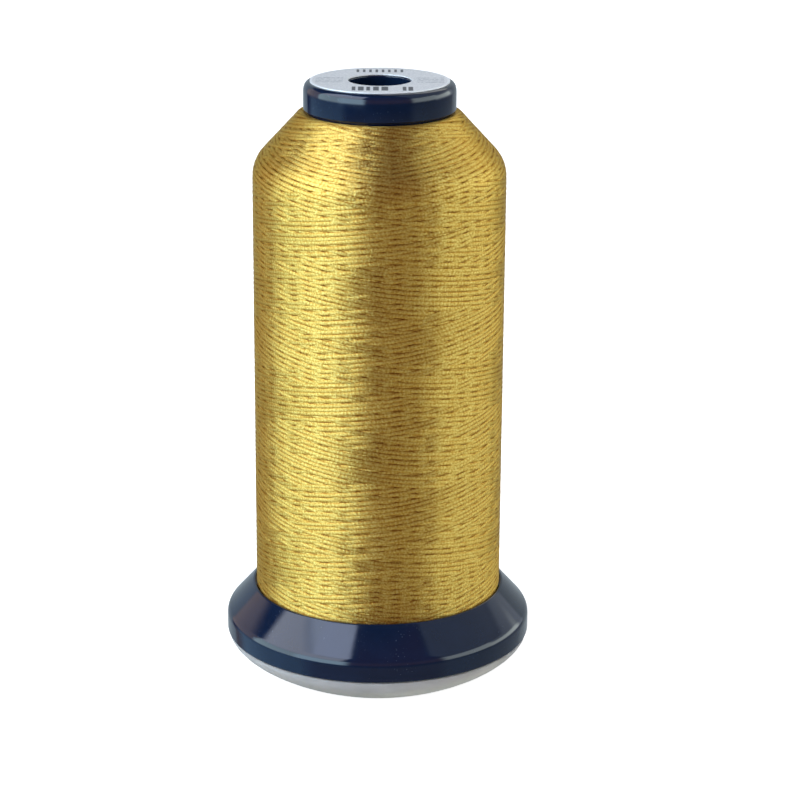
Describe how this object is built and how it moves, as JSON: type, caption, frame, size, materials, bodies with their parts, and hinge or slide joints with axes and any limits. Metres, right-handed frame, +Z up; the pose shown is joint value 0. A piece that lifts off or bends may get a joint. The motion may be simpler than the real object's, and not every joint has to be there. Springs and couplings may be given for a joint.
{
  "type": "spool of thread",
  "caption": "King-size spool of gold metallic embroidery thread on a moulded core with a conical flange and a translucent snap base that catches the thread end.",
  "frame": {"origin": "centre of the ring that the base stands on, at the lowest point of the spool", "axes": "+Z up along the spool's axis, from the base to the head"},
  "size_m": [0.0624, 0.0624, 0.1221],
  "materials": {
    "base_plastic": "translucent, satin",
    "core_plastic": "gloss",
    "metallic_thread": "metallised thread, shiny",
    "label_paper": "satin metallised paper"
  },
  "bodies": {
    "base": {"snap_base": "base_plastic"},
    "spool": {"spool_core": "core_plastic", "thread_package": "metallic_thread", "top_label": "label_paper"}
  },
  "joints": [
    {"name": "base_snap", "type": "slide", "parent": "base", "child": "spool", "axis": [0, 0, 1], "range_m": [0, 0.003]}
  ]
}
